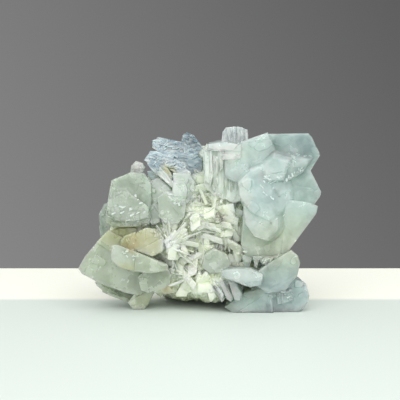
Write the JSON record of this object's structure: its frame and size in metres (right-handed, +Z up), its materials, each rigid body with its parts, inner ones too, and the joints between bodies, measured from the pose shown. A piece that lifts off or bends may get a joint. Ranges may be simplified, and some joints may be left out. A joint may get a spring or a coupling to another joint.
{
  "type": "blue barite on matrix",
  "caption": "Cluster of pale blue-green tabular barite crystals on a cream matrix, resting on small flat spots.",
  "frame": {"origin": "middle of the base of the bounding box, on the surface that the specimen stands on", "axes": "+Z up, +X to the right as seen from the pictured side, which faces -Y"},
  "size_m": [0.0644, 0.0286, 0.0489],
  "materials": {
    "clear_barite": "translucent, glassy broad faces",
    "blue_barite": "translucent, finely frosted",
    "green_barite": "translucent, glassy with milky veils",
    "white_barite": "milky, finely striated",
    "yellow_barite": "translucent, iron stained",
    "matrix": "rough, granular"
  },
  "bodies": {
    "root": {"top_crystal": "white_barite", "right_plates": "clear_barite", "upper_columns": "white_barite", "blue_blades": "blue_barite", "left_plates": "green_barite", "middle_crystals": "green_barite", "left_back_crystal": "clear_barite", "yellow_crystals": "yellow_barite", "lower_left_plates": "green_barite", "left_foot": "green_barite", "centre_crystals": "green_barite", "lower_right_plates": "blue_barite", "back_upper_plates": "clear_barite", "back_left_plates": "green_barite", "back_foot": "green_barite", "matrix": "matrix"}
  },
  "joints": []
}
